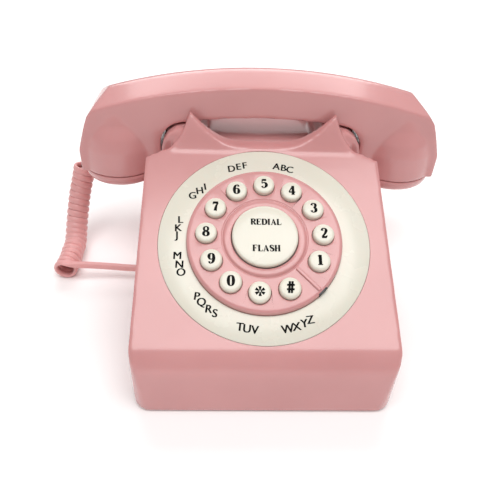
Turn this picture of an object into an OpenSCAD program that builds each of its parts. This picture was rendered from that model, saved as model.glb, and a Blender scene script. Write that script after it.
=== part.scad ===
// Compact desk telephone: sloping wedge body, round push-button dial plate with a rocking centre key,
// arched handset lying in a horned cradle, and a short curly handset cord.
// Origin: middle of the footprint, on the table. +Z up, +Y to the back, +X to the right.

/* [Body] */
// Width across the sides
body_w = 136; // [132:0.5:140]
// Depth from the front foot to the back
body_d = 190; // [186:0.5:196]
// Slope of the dial face above the table, degrees
face_slope = 28; // [27:0.5:29]
// Height of the upright front band, down to the table
band_h = 34; // [32:0.5:36]
// Wall thickness of the mouldings
wall = 2.6; // [2.2:0.1:3]

/* [Dial] */
// Radius of the cream letter ring
ring_r = 58; // [56:0.5:60]
// Radius of the raised pink dial disc
disc_r = 42.6; // [42:0.1:43.2]
// Height of the disc's top over the letter ring
disc_h = 4; // [3.5:0.1:4.5]
// Radius of the circle on which the twelve keys stand
key_circle = 31.4; // [31:0.1:32]
// Radius of one round key
key_r = 5.7; // [5.4:0.1:5.9]
// Travel of a key
key_travel = 1.5; // [1:0.1:1.6]
// Radius of the rocking centre key
rocker_r = 17.6; // [17:0.1:17.8]

/* [Handset] */
// Overall length
handset_l = 229; // [226:0.5:232]
// Radius of the arch along the top of the handle
arch_r = 344; // [330:1:360]
// Radius of an ear or mouth cup
cup_r = 26; // [25:0.5:26.5]
// Height of the handle's crown over the table
crown_z = 131; // [130.5:0.1:132]

/* [Cord] */
// Outside diameter of the curly part
curl_d = 15; // [13:0.5:16]
// Width of the flat cord itself
cord_d = 4.5; // [3.8:0.1:4.8]

/* [Hidden] */
$fn = 72;

pink = "#efb2b6";
cream = "#efece0";
dark = "#2b2b2e";
steel = "silver";
board_green = "#2f7a4a";

// --- body outline, all in the plane of the sides (y, z) ---
front_y = -body_d / 2;
back_y = body_d / 2;
rim_z = 2;                       // lower edge of the shell, the feet lift it this far
crease = [front_y + 3, band_h];  // where the upright band turns into the face
function on_face(t) = crease + t * [cos(face_slope), sin(face_slope)];
dial_along = 67;                 // dial centre, measured up the face from the crease
shoulder_along = 119.7;
face_len = 129;
shoulder = on_face(shoulder_along);
brow = on_face(face_len);        // middle of the face's top edge, in front of the cradle
dial_at = [0, on_face(dial_along)[0], on_face(dial_along)[1]];
neck_half = 52;
flare_half = 58.5;
gap = 0.3;

// --- cradle and handset places ---
handset_y = 50.5;
handle_half = 18.5;
handle_t = 24.5;
arch_z = crown_z - arch_r;       // height of the arch's centre
under_r = arch_r - handle_t;
function under_z(x) = arch_z + sqrt(under_r * under_r - x * x);
cup_x = handset_l / 2 - cup_r;
cup_z = 68.6;                    // lower edge of the cups, where the caps screw on
cap_z = 60;                      // face of the caps
plug_z = 77.4;                   // cord socket in the back of the mouth cup
socket_turn = 135;
trough_z = 92.6;
ear_z = 102.6;                   // top of the cradle's ears, just under the handle
horn_tip_z = 111;
horn_x = 42.5;
horn_t = 7.5;
rear_horn_y = 71.5;
plunger_x = 38;
plunger_r = 3.5;
plunger_top = 103.4;

// --- dial stack, heights over the letter ring's own plane ---
seat_h = -1.3;
hole_gap = 0.25;
key_top = 6.9;
key_flange_r = 6.6;
key_foot = -1.2;
post_circle = 21.4;
post_r = 2.2;
membrane_top = -3.4;
board_top = -4.4;
board_t = 1.5;
rocker_pin_r = 1;
stop_angle = -46.5;
key_step = 29;
key_first = -26;
post_angles = [45, 135, 225, 315];
window_r = 39;

// --- fasteners ---
screw_at = [[-1, -85], [1, -85], [-1, 85.5], [1, 85.5]];
screw_x = 61;
screw_r = 1.5;
floor_t = 2.4;
floor_z = rim_z + floor_t;
board_at = [-6, 58];
board_size = [74, 44];
board_z = 10;
board_holes = [[-33, -18], [33, -18], [-33, 18], [33, 18]];
ringer_at = [38, -46];
port_y = 7;
port_z = 9.8;
line_x = -40;
line_z = 13;
tower_r = 6;
tower_top = 62;
switch_x = 22;
switch_z = 66;
bar_z = 80;

// --- cord routes, chosen by hand ---
curl_route = [
    [-119.3, 64, 57.5], [-121.3, 61.5, 48.5], [-124.3, 57, 37], [-126.3, 50.5, 25], [-127.3, 43.5, 14.5],
    [-127, 35, 8.4], [-127, 26, 7.7], [-126.5, 17, 7.6], [-127.5, 7, 7.6]
];
lead_route = [[-125, 7, 12.8], [-112, 7.6, 12], [-98, 7.8, 10.4], [-86, 7.4, 9.9], [-76, 7, 9.8]];
wire_routes = [
    [[-54.4, 7, 10], [-52, 7, 10], [-47, 9, 17], [-38, 24, 19], [-29, 39.5, 13]],
    [[24, 40, 13], [30, 20, 20], [38, -10, 20], [40, -30, 14]],
    [[-36, 80.4, 14.5], [-36, 78.5, 14.5], [-34.5, 75.5, 15.2], [-33.4, 72.6, 13]]
];
handle_wire = [
    [-86, 50.5, 69.6], [-84, 50.5, 82], [-79, 50.5, 95], [-73, 52, 104.5], [-62, 57, 110.5],
    [-48, 60, 113.5], [-26, 60, 117], [0, 60, 118.5], [26, 60, 117], [48, 60, 113.5],
    [62, 57, 110.5], [73, 52, 104.5], [79, 50.5, 95], [82, 50.5, 84], [82, 50.5, 73.6]
];

// --- helpers ---
function unit(v) = v / norm(v);

// Moves each edge of an anticlockwise outline inwards by d
function inset(p, d) = [
    for (i = [0:len(p) - 1])
        let (
            n = len(p),
            before = unit(p[i] - p[(i + n - 1) % n]),
            after = unit(p[(i + 1) % n] - p[i]),
            a = [-before[1], before[0]],
            b = [-after[1], after[0]]
        )
        p[i] + d * (a + b) / (1 + a * b)
];

function arc(centre, r, from, to, steps) =
    [for (i = [0:steps]) let (a = from + (to - from) * i / steps) centre + r * [cos(a), sin(a)]];

function mirrored(p) = concat(p, [for (i = [len(p) - 1:-1:0]) [-p[i][0], p[i][1]]]);

// Smooth curve through a list of points
function spline_point(a, b, c, d, t) =
    0.5 * ((2 * b) + (c - a) * t + (2 * a - 5 * b + 4 * c - d) * t * t + (3 * b - a - 3 * c + d) * t * t * t);
function smooth_route(p, steps) = concat(
    [
        for (i = [0:len(p) - 2]) for (k = [0:steps - 1])
            spline_point(p[max(i - 1, 0)], p[i], p[i + 1], p[min(i + 2, len(p) - 1)], k / steps)
    ],
    [p[len(p) - 1]]
);

function headings(p) =
    [for (i = [0:len(p) - 1]) unit(p[min(i + 1, len(p) - 1)] - p[max(i - 1, 0)])];
function carried(t, side, i = 0, list = []) =
    i == len(t) ? list : let (s = unit(side - (side * t[i]) * t[i])) carried(t, s, i + 1, concat(list, [s]));

// Round tube swept along a route
module tube(route, r, sides = 12, side = [0, 1, 0.2]) {
    t = headings(route);
    s = carried(t, side);
    n = len(route);
    rings = [
        for (i = [0:n - 1]) for (k = [0:sides - 1])
            let (a = 360 * k / sides) route[i] + r * (cos(a) * s[i] + sin(a) * cross(t[i], s[i]))
    ];
    walls = [
        for (i = [0:n - 2]) for (k = [0:sides - 1])
            let (a = i * sides + k, b = i * sides + (k + 1) % sides) each [[a, a + sides, b], [b, a + sides, b + sides]]
    ];
    ends = [[for (k = [0:sides - 1]) k], [for (k = [sides - 1:-1:0]) (n - 1) * sides + k]];
    polyhedron(rings, concat(walls, ends));
}

// Outline in (y, z), drawn across the body's width
module across(outline, half) {
    rotate([90, 0, 90]) translate([0, 0, -half]) linear_extrude(2 * half) polygon(outline);
}

// Outline in (x, z), drawn from y0 back to y1
module standing(outline, y0, y1) {
    translate([0, y1, 0]) rotate([90, 0, 0]) linear_extrude(y1 - y0) polygon(outline);
}

module rounded_plan(half_x, y0, y1, z0, z1, r) {
    translate([0, 0, z0]) linear_extrude(z1 - z0) {
        translate([-half_x + r, y0]) square([2 * half_x - 2 * r, y1 - y0]);
        translate([-half_x, y0 + r]) square([2 * half_x, y1 - y0 - 2 * r]);
        for (x = [-half_x + r, half_x - r], y = [y0 + r, y1 - r]) translate([x, y]) circle(r);
    }
}

module on_dial() {
    translate(dial_at) rotate([face_slope, 0, 0]) children();
}

module ring(outer, inner, z0, z1) {
    difference() {
        translate([0, 0, z0]) cylinder(h = z1 - z0, r = outer);
        translate([0, 0, z0 - 1]) cylinder(h = z1 - z0 + 2, r = inner);
    }
}

module block(low, high) {
    translate(low) cube(high - low);
}

// --- body shell ---
wedge = [
    [front_y, rim_z], [back_y, rim_z], [back_y - 2, 37], [38, 41], [30, 47], shoulder + [6, -6],
    shoulder, crease
];
neck = [
    [-40, 30], [back_y - 3, 20], [back_y - 6, 60], [rear_horn_y + 12, trough_z + 2],
    [rear_horn_y, trough_z + 2], [rear_horn_y - 1, trough_z], [brow[0] + 8, trough_z],
    [brow[0] + 7, brow[1]], brow
];
flare = [
    [-40, 30], [back_y - 3, 20], [back_y - 5, 50], [back_y - 9, 88], [brow[0] + 7, 88]
];
horn_half = [
    [0, brow[1] - 0.6], [14, brow[1] - 0.1], [23.5, brow[1] + 2], [31, brow[1] + 7], [horn_x - 3.5, horn_tip_z - 2.6],
    [horn_x, horn_tip_z], [horn_x + 3, horn_tip_z - 7], [horn_x + 6.5, horn_tip_z - 13],
    [neck_half, horn_tip_z - 17.5], [neck_half, brow[1] - 14], [0, brow[1] - 14]
];
horns = mirrored(horn_half);
ear = [[26, trough_z - 4], [neck_half, trough_z - 4], [neck_half, 95.5], [45, ear_z], [31, ear_z], [26, 96]];

// Foot of the neck, spreading out beside the cradle
module flared_neck(g) {
    intersection() {
        across(inset(flare, g), flare_half - g);
        standing(mirrored([
            [0, 10], [flare_half - g, 10], [flare_half - g, 76], [neck_half + 1 - g, 90], [0, 90]
        ]), -60, 100);
    }
}

module body_form(g) {
    intersection() {
        union() {
            across(inset(wedge, g), body_w / 2 - g);
            across(inset(neck, g), neck_half - g);
            flared_neck(g);
        }
        rounded_plan(body_w / 2 - g, front_y + g, back_y - g, rim_z - 1, 130, 12 - g);
    }
}

module ears(g) {
    for (side = [0, 1]) mirror([side, 0, 0])
        standing(inset(ear, g), brow[0] + horn_t - 1 + g, rear_horn_y + 1 - g);
}

module body_shell() {
    color(pink) difference() {
        union() {
            body_form(0);
            standing(horns, brow[0], brow[0] + horn_t);
            standing(horns, rear_horn_y, rear_horn_y + horn_t);
            ears(0);
        }
        body_form(wall);
        ears(wall);
        block([-neck_half + wall, brow[0] + 10, 80], [-28.6, rear_horn_y - 4, trough_z - 1]);
        block([28.6, brow[0] + 10, 80], [neck_half - wall, rear_horn_y - 4, trough_z - 1]);
        rounded_plan(body_w / 2 - wall, front_y + wall, back_y - wall, rim_z - 2, rim_z + wall + 2, 12 - wall);
        on_dial() {
            translate([0, 0, seat_h]) cylinder(h = 20, r = ring_r + 0.2);
            translate([0, 0, -12]) cylinder(h = 20, r = window_r);
        }
        for (x = [-plunger_x, plunger_x]) translate([x, handset_y, 90]) cylinder(h = 20, r = plunger_r + 0.2);
        block([-body_w / 2 - 1, port_y - 6.7, floor_z], [-body_w / 2 + 4, port_y + 6.7, port_z + 5.7]);
        block([line_x - 6.7, back_y - 6, line_z - 6.2], [line_x + 6.7, back_y + 1, line_z + 6.2]);
    }
    color(pink) for (p = screw_at) difference() {
        translate([p[0] * screw_x, p[1], floor_z + 0.1]) cylinder(h = 16, r = 5);
        translate([p[0] * screw_x, p[1], floor_z - 1]) cylinder(h = 15, r = screw_r);
    }
}

// --- underside ---
module base_plate() {
    color(pink) difference() {
        union() {
            rounded_plan(body_w / 2 - wall - gap, front_y + wall + 0.4, back_y - wall - 0.4, rim_z, floor_z, 9);
            translate([0, handset_y, floor_z - 0.5]) cylinder(h = tower_top - floor_z + 0.5, r = tower_r);
            translate([switch_x - 10, handset_y - 3.3, floor_z - 0.5]) cube([20, 6.6, switch_z - floor_z + 0.5]);
            for (p = board_holes) translate([board_at[0] + p[0], board_at[1] + p[1], floor_z - 0.5])
                cylinder(h = board_z - floor_z + 0.5, r = 3);
        }
        for (p = screw_at) translate([p[0] * screw_x, p[1], 0]) {
            cylinder(h = 10, r = screw_r + 0.2);
            cylinder(h = rim_z + 1.3, r = 3.2);
        }
        for (p = board_holes) translate([board_at[0] + p[0], board_at[1] + p[1], floor_z])
            cylinder(h = 10, r = 1);
    }
}

module rubber_feet() {
    color(dark) for (x = [-50, 50], y = [-72, 72]) translate([x, y, 0]) cylinder(h = rim_z, r = 7.5);
}

module screw(head_r, head_h, r, length) {
    cylinder(h = head_h, r = head_r);
    cylinder(h = length, r = r);
}

module base_screws() {
    color(steel) for (p = screw_at) translate([p[0] * screw_x, p[1], rim_z]) screw(3, 1.2, screw_r, 14);
}

module ballast_plate() {
    color("dimgray") rounded_plan(42, -84, -66, floor_z, floor_z + 6, 3);
}

// --- dial ---
module dial_ring() {
    color(cream) on_dial() ring(ring_r, disc_r + 0.2, seat_h, 0.4);
}

module dial_disc() {
    rim_in = disc_r - 2.2;
    stop_in = 24;
    color(pink) on_dial() difference() {
        union() {
            rotate_extrude() polygon([
                [window_r + 0.4, seat_h], [disc_r, seat_h], [disc_r, disc_h - 1.4], [disc_r - 1.2, disc_h],
                [22.6, disc_h], [22.2, disc_h + 0.7], [rocker_r + 1, disc_h + 0.7],
                [rocker_r + 0.4, disc_h + 0.3], [rocker_r + 0.4, disc_h - 2.4], [rim_in, disc_h - 2.4],
                [rim_in, seat_h + 1]
            ]);
            for (a = post_angles) rotate(a) translate([post_circle, 0, board_top])
                cylinder(h = disc_h - 2 - board_top, r = post_r);
            rotate(stop_angle) block([stop_in, -1, disc_h - 0.5], [disc_r - 2.4, 1, disc_h + 1.2]);
            block([-21, -3.5, -3.2], [21, 3.5, -1.9]);
            for (x = [-21, 18.6]) block([x, -3.5, -3.2], [x + 2.4, 3.5, disc_h - 2.2]);
            for (x = [-11.4, 8.4]) block([x, -3, -2.4], [x + 3, 3, 1.8]);
        }
        for (i = [0:11]) rotate(key_first + i * key_step) translate([key_circle, 0, 0])
            cylinder(h = 20, r = key_r + hole_gap);
        for (a = post_angles) rotate(a) translate([post_circle, 0, board_top - 1]) cylinder(h = 5.4, r = 1);
        translate([-14, 0, 0]) rotate([0, 90, 0]) cylinder(h = 28, r = rocker_pin_r);
    }
}

module dial_screws() {
    color(steel) on_dial() for (a = post_angles) rotate(a)
        translate([post_circle, 0, board_top - board_t - 1.2]) screw(2, 1.2, 1, 6);
}

module key_membrane() {
    color("gainsboro") on_dial() difference() {
        union() {
            translate([0, 0, board_top]) cylinder(h = membrane_top - board_top, r = window_r - 1);
            for (i = [0:11]) rotate(key_first + i * key_step) translate([key_circle, 0, board_top])
                cylinder(h = 1.45, r = 3.4);
        }
        for (a = post_angles) rotate(a) translate([post_circle, 0, board_top - 1]) cylinder(h = 5, r = post_r + 0.3);
    }
}

module keypad_board() {
    color(board_green) on_dial() difference() {
        translate([0, 0, board_top - board_t]) cylinder(h = board_t, r = window_r - 0.6);
        for (a = post_angles) rotate(a) translate([post_circle, 0, board_top - board_t - 1])
            cylinder(h = 5, r = 1.15);
    }
}

module ribbon_cable() {
    color("lightgray") across(
        [
            [-18, 59.5], [-17.5, 58], [8, 34], [32, 20], [40.6, 11.6], [43, 11.6], [43, 12.4],
            [41.2, 12.4], [32.6, 20.8], [8.6, 35], [-17, 59.2]
        ], 8);
}

module round_key() {
    rotate_extrude() polygon([
        [0, key_foot], [2.5, key_foot], [2.5, 0.2], [key_flange_r, 0.2], [key_flange_r, 1.2], [key_r, 1.2],
        [key_r, key_top - 0.9], [key_r - 0.25, key_top - 0.35], [key_r - 0.9, key_top - 0.05], [0, key_top]
    ]);
}

module key_at(index) {
    color(cream) on_dial() rotate(key_first + index * key_step) translate([key_circle, 0, 0]) round_key();
}

module rocker_key() {
    color(cream) on_dial() difference() {
        union() {
            rotate_extrude() polygon([
                [0, 3.8], [rocker_r - 0.5, 3.8], [rocker_r, 4.3], [rocker_r, key_top - 0.9],
                [rocker_r - 0.3, key_top - 0.3], [rocker_r - 1, key_top], [8, key_top + 0.25], [0, key_top + 0.3]
            ]);
            block([-8, -3, -1.5], [8, 3, 4]);
            for (y = [-12, 12]) translate([0, y, -2]) cylinder(h = 6, r = 1.8);
        }
        translate([-9, 0, 0]) rotate([0, 90, 0]) cylinder(h = 18, r = rocker_pin_r + 0.05);
    }
}

module rocker_pin() {
    color(steel) on_dial() translate([-13, 0, 0]) rotate([0, 90, 0]) cylinder(h = 26, r = rocker_pin_r);
}

// --- inside the body ---
module main_board() {
    color(board_green) difference() {
        translate([board_at[0] - board_size[0] / 2, board_at[1] - board_size[1] / 2, board_z])
            cube([board_size[0], board_size[1], 1.6]);
        for (p = board_holes) translate([board_at[0] + p[0], board_at[1] + p[1], board_z - 1])
            cylinder(h = 4, r = 1.3);
        translate([0, handset_y, board_z - 1]) cylinder(h = 4, r = tower_r + 0.5);
        block([switch_x - 10.5, handset_y - 3.8, board_z - 1], [switch_x + 10.5, handset_y + 3.8, board_z + 3]);
    }
}

module board_screws() {
    color(steel) for (p = board_holes) translate([board_at[0] + p[0], board_at[1] + p[1], board_z + 1.6])
        mirror([0, 0, 1]) translate([0, 0, -1.4]) screw(2.2, 1.4, 1, 7);
}

module board_parts() {
    top = board_z + 1.6;
    color(dark) {
        block([-32, 62, top], [-18, 70, top + 3]);
        block([-8, 64, top], [8, 74, top + 4]);
        for (x = [-34, -22, -12]) translate([x, 44, top]) cylinder(h = 11, r = 3.2);
        for (x = [16, 23]) translate([x, 66, top]) cylinder(h = 8, r = 2.5);
    }
}

module ringer() {
    color(dark) translate([ringer_at[0], ringer_at[1], floor_z]) rotate_extrude() polygon([
        [0, 0], [8, 0], [8, 3], [18, 5], [18, 8], [16.5, 8], [12, 6.4], [0, 5.4]
    ]);
}

module inner_wires() {
    color("firebrick") for (route = wire_routes) tube(smooth_route(route, 4), 0.9, 6);
}

module socket(inner, outer, depth) {
    difference() {
        translate([-outer[0] / 2, 0, -outer[1] / 2]) cube([outer[0], outer[2], outer[1]]);
        translate([-inner[0] / 2, -1, -inner[1] / 2]) cube([inner[0], depth + 1, inner[1]]);
    }
}

module line_jack() {
    color(dark) translate([line_x, back_y - 0.3, line_z]) mirror([0, 1, 0]) socket([9.8, 7], [13, 12, 14], 11.5);
}

module handset_port() {
    color(dark) translate([-body_w / 2 + 0.3, port_y, port_z]) rotate([0, 0, -90])
        socket([7.8, 6.2], [13, 10.6, 13], 9);
}

// --- cradle switch ---
module plunger(x) {
    color(pink) translate([x, handset_y, 0]) {
        translate([0, 0, bar_z + 4]) cylinder(h = plunger_top - bar_z - 4, r = plunger_r);
        translate([0, 0, bar_z + 4]) cylinder(h = 2, r = 5.5);
    }
}

module hook_bar() {
    color(cream) difference() {
        block([-plunger_x - 6, handset_y - 5, bar_z], [plunger_x + 6, handset_y + 5, bar_z + 4]);
        translate([0, handset_y, bar_z - 1]) cylinder(h = 2, r = 5.4);
    }
}

module hook_spring() {
    turns = 6;
    steps = 12;
    wire = 0.5;
    rise = bar_z + 0.8 - tower_top - 2 * wire;
    helix = [for (i = [0:turns * steps]) let (a = 360 * i / steps)
        [4.4 * cos(a), handset_y + 4.4 * sin(a), tower_top + wire + rise * i / (turns * steps)]];
    color(steel) tube(helix, wire, 6, [1, 0, 0]);
}

module hook_switch() {
    color(dark) {
        block([switch_x - 10, handset_y - 3.2, switch_z], [switch_x + 10, handset_y + 3.2, switch_z + 10]);
        translate([switch_x - 4, handset_y, switch_z + 9]) cylinder(h = bar_z - gap - switch_z - 9, r = 1.4);
    }
}

// --- handset ---
corner_r = 15;
corner_x = cup_x - cup_r - corner_r - 1;
under_half = asin(corner_x / under_r);
slope_in = 7;                    // half width of the handle's crown
slope_drop = 8.2;                // fall from the crown to the crease along each side
handset_half = concat(
    arc([0, arch_z], under_r, 90, 90 - under_half, 8),
    arc([corner_x, under_z(corner_x) - corner_r], corner_r, 75, 0, 6),
    [
        [corner_x + corner_r, cup_z], [handset_l / 2 + 3, cup_z], [handset_l / 2 + 3, 84],
        [handset_l / 2 - 1.5, 98], [handset_l / 2 - 9, 110.5], [handset_l / 2 - 20, crown_z - 9],
        [handset_l / 2 - 34, crown_z + 5]
    ]
);
handset_outline = concat(
    [for (i = [len(handset_half) - 1:-1:0]) handset_half[i]],
    [for (i = [1:len(handset_half) - 1]) [-handset_half[i][0], handset_half[i][1]]]
);
cup_reach = cup_r + 2;
eaves = arch_r - slope_drop * (cup_reach - slope_in) / (handle_half - slope_in);
arch_profile = [
    [arch_r - 80, cup_reach], [arch_r - 80, -cup_reach], [eaves, -cup_reach],
    [arch_r, -slope_in], [arch_r, slope_in], [eaves, cup_reach]
];
handle_hollow = [
    [under_r + wall, handle_half - wall], [under_r + wall, wall - handle_half],
    [arch_r - slope_drop - wall, wall - handle_half], [arch_r - wall - 1, 1 - slope_in],
    [arch_r - wall - 1, slope_in - 1], [arch_r - slope_drop - wall, handle_half - wall]
];

// Sweep concentric with the arch of the handle, profile in (distance from the arch's centre, y)
module along_arch(profile, half_angle) {
    translate([0, handset_y, arch_z]) rotate([90, 0, 0]) mirror([0, 0, 1]) rotate([0, 0, 90 - half_angle])
        rotate_extrude(angle = 2 * half_angle, $fn = 360) polygon(profile);
}

module cup_places() {
    for (side = [-1, 1]) translate([side * cup_x, handset_y, 0]) children();
}

// Mouth of the cord socket, at the back of the mouth cup, +X pointing out of it
module at_socket() {
    translate([-cup_x, handset_y, plug_z]) rotate([0, 0, socket_turn]) translate([cup_r - 0.6, 0, 0]) children();
}

module handset_shell() {
    color(pink) difference() {
        intersection() {
            standing(handset_outline, handset_y - cup_r - 1, handset_y + cup_r + 1);
            along_arch(arch_profile, 25);
            union() {
                block([-cup_x, handset_y - handle_half, 80], [cup_x, handset_y + handle_half, crown_z + 1]);
                cup_places() translate([0, 0, cup_z]) cylinder(h = 60, r = cup_r);
            }
        }
        along_arch(handle_hollow, 13.9);
        cup_places() rotate_extrude() polygon([
            [0, cup_z - 1], [cup_r - 3.2, cup_z - 1], [cup_r - 3.2, 88], [14, 106], [0, 106]
        ]);
        at_socket() translate([-7.4, -5.7, -4.9]) cube([9, 11.4, 9.8]);
    }
}

module cap(holes) {
    lip = cup_r - 0.5;
    thread_r = cup_r - 3.4;
    difference() {
        rotate_extrude() polygon([
            [0, cap_z], [cup_r - 6.5, cap_z], [cup_r - 2.5, cap_z + 2.6], [lip, cap_z + 6.4], [lip, cup_z - 0.1],
            [thread_r, cup_z - 0.1], [thread_r, cup_z + 3.4], [thread_r - 2, cup_z + 3.4],
            [thread_r - 2, cap_z + 3], [0, cap_z + 3]
        ]);
        for (p = holes) translate([p[0], p[1], cap_z - 1]) cylinder(h = 6, r = 1.1);
    }
}

function hole_ring(n, r) = [for (i = [0:n - 1]) r * [cos(360 * i / n), sin(360 * i / n)]];

module ear_cap() {
    color(pink) translate([cup_x, handset_y, 0]) cap(concat([[0, 0]], hole_ring(6, 5), hole_ring(12, 10)));
}

module mouth_cap() {
    color(pink) translate([-cup_x, handset_y, 0]) cap(concat([[0, 0]], hole_ring(6, 5)));
}

module receiver_capsule() {
    color(dark) translate([cup_x, handset_y, cap_z + 3.1]) rotate_extrude() polygon([
        [0, 0], [17, 0], [19, 1.6], [19, 5.4], [12, 6.4], [11, 10.4], [0, 10.4]
    ]);
}

module microphone_holder() {
    color("gainsboro") translate([-cup_x, handset_y, 0]) {
        difference() {
            union() {
                translate([0, 0, cap_z + 3]) cylinder(h = 7, r = 7.5);
                translate([0, 0, cap_z + 3]) cylinder(h = 1.6, r = 19);
            }
            translate([0, 0, cap_z + 2]) cylinder(h = 12, r = 4.9);
        }
    }
}

module microphone() {
    color(steel) translate([-cup_x, handset_y, cap_z + 3.2]) cylinder(h = 6.2, r = 4.85);
}

module handset_weight() {
    color("dimgray") block([-24, handset_y - 11, 112], [24, handset_y + 6.5, 120.5]);
}

module handset_wires() {
    color("firebrick") tube(smooth_route(handle_wire, 3), 1, 6, [0, 1, 0]);
}

module handset_jack() {
    color(dark) at_socket() rotate([0, 0, 90]) socket([7.8, 6.2], [11, 9.4, 11.5], 9);
}

// --- handset cord ---
module plug(length) {
    difference() {
        block([-length, -3.8, -3], [8.8, 3.8, 3]);
        block([1, -2, 2], [9, 2, 4]);
    }
    translate([-length - 2, 0, 0]) rotate([0, 90, 0]) cylinder(h = 3, r = cord_d / 2 + 0.8);
}

module handset_plug() {
    color(pink) at_socket() rotate([0, 0, 180]) plug(3);
}

module curly_cord() {
    color(pink) tube(smooth_route(curl_route, 2), curl_d / 2, 12);
}

module cord_lead() {
    color(pink) tube(smooth_route(lead_route, 3), cord_d / 2, 10, [0, 0, 1]);
}

module body_plug() {
    color(pink) translate([-body_w / 2 + 0.3, port_y, port_z]) plug(6);
}

body_shell();
base_plate();
rubber_feet();
base_screws();
ballast_plate();
dial_ring();
dial_disc();
dial_screws();
key_membrane();
keypad_board();
ribbon_cable();
key_at(0);  // key_1
key_at(1);  // key_2
key_at(2);  // key_3
key_at(3);  // key_4
key_at(4);  // key_5
key_at(5);  // key_6
key_at(6);  // key_7
key_at(7);  // key_8
key_at(8);  // key_9
key_at(9);  // key_0
key_at(10);  // key_star
key_at(11);  // key_hash
rocker_key();
rocker_pin();
main_board();
board_screws();
board_parts();
ringer();
inner_wires();
line_jack();
handset_port();
plunger(-plunger_x);  // plunger_left
plunger(plunger_x);  // plunger_right
hook_bar();
hook_spring();
hook_switch();
handset_shell();
ear_cap();
mouth_cap();
receiver_capsule();
microphone();
microphone_holder();
handset_weight();
handset_wires();
handset_jack();
handset_plug();
curly_cord();
cord_lead();
body_plug();
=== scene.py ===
import math

import bmesh
import bpy
from mathutils import Matrix, Vector


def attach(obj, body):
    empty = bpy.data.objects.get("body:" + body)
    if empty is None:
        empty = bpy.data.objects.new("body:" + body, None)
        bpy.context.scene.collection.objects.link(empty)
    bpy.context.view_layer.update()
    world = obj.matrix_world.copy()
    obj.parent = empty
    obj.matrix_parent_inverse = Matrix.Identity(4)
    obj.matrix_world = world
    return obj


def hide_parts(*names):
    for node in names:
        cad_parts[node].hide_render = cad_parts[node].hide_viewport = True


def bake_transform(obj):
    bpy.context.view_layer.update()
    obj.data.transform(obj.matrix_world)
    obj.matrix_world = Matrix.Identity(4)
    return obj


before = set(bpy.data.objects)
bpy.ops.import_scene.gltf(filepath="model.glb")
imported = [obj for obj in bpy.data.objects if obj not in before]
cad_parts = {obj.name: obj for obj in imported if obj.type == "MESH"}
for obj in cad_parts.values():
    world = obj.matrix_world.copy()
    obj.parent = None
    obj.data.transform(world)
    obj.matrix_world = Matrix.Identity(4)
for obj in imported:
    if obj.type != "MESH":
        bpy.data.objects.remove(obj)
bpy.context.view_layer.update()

# Lengths below are in millimetres, in the frame of the model: x right, y back, z up from the table.
MM = 0.001

# --- body and dial places ---
FACE_SLOPE = math.radians(28)
BODY_HALF = 68
FRONT, BACK = -95, 95
CORNER_R = 10
BODY_FOOT = 0.6
WALL = 2.6
CREASE = (-92, 34)
NECK_HALF, FLARE_HALF = 52, 58.5
DIAL_CENTRE = (0, -32.843, 65.455)
DIAL_PLANE = Matrix.Translation(Vector(DIAL_CENTRE) * MM) @ Matrix.Rotation(FACE_SLOPE, 4, "X")
RING_INNER, RING_OUTER, RING_TOP = 42.1, 57.3, 0.4
KEY_CIRCLE = 31.4
KEY_PRINT, ROCKER_PRINT = 7.0, 7.23
KEY_NAMES = ["1", "2", "3", "4", "5", "6", "7", "8", "9", "0", "star", "hash"]
KEY_FIRST, KEY_STEP = -26, 29
STOP_ANGLE = -46.5

# --- handset places ---
HANDSET_Y = 50.5
CUP_X, CUP_R, CUP_FOOT = 88.5, 26, 68.6
ARCH_Z, ARCH_R, UNDER_R = -213, 344, 319.5
HANDLE_HALF, ROOF_DROP = 18.5, 6.2
RIDGE_HALF, RIDGE_FALL = 1.6, 0.9
PLUG_Z, SOCKET_TURN = 77.4, math.radians(135)
PORT_Y, PORT_Z = 7, 9.8

# --- cord ---
CORD_WIDE, CORD_THICK, CURL_D, CURL_PITCH = 4.5, 2.5, 15, 4.55

# --- how soft the melted mouldings come out ---
BODY_GRAIN, HANDSET_GRAIN, MELT_ROUNDS = 1.15, 0.95, 5


# ---------------------------------------------------------------- camera
def set_camera():
    lens = bpy.data.cameras.new("viewpoint")
    lens.lens = 37.5
    lens.sensor_width = 36
    lens.clip_start = 0.01
    camera = bpy.data.objects.new("viewpoint", lens)
    bpy.context.scene.collection.objects.link(camera)
    right = Vector((0.9994, -0.0161, 0.0303))
    up = Vector((-0.0142, 0.6104, 0.792))
    behind = Vector((-0.0313, -0.7919, 0.6098))
    turn = Matrix((right, up, behind)).transposed().to_4x4()
    camera.matrix_world = Matrix.Translation(Vector((-21.6, -246.7, 230.2)) * MM) @ turn
    bpy.context.scene.camera = camera


# ---------------------------------------------------------------- workshop helpers
def let_go():
    """Leaves edit mode and deselects everything."""
    if bpy.context.object and bpy.context.object.mode != "OBJECT":
        bpy.ops.object.mode_set(mode="OBJECT")
    bpy.ops.object.select_all(action="DESELECT")


def take(obj):
    let_go()
    obj.select_set(True)
    bpy.context.view_layer.objects.active = obj
    return obj


def settle(obj):
    """Puts an object's place, turn and scale into its mesh."""
    take(obj)
    bpy.ops.object.transform_apply(location=True, rotation=True, scale=True)
    return obj


def pick(obj, kind, test):
    """Opens a piece for editing with only the corners, edges or faces that pass the test selected."""
    take(obj)
    bpy.ops.object.mode_set(mode="EDIT")
    bpy.ops.mesh.select_mode(type=kind)
    bpy.ops.mesh.select_all(action="DESELECT")
    mesh = bmesh.from_edit_mesh(obj.data)
    parts = {"VERT": mesh.verts, "EDGE": mesh.edges, "FACE": mesh.faces}[kind]
    for part in parts:
        if test(part):
            part.select_set(True)
    mesh.select_flush_mode()
    bmesh.update_edit_mesh(obj.data)


def pick_all(obj):
    take(obj)
    bpy.ops.object.mode_set(mode="EDIT")
    bpy.ops.mesh.select_all(action="SELECT")


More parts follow.
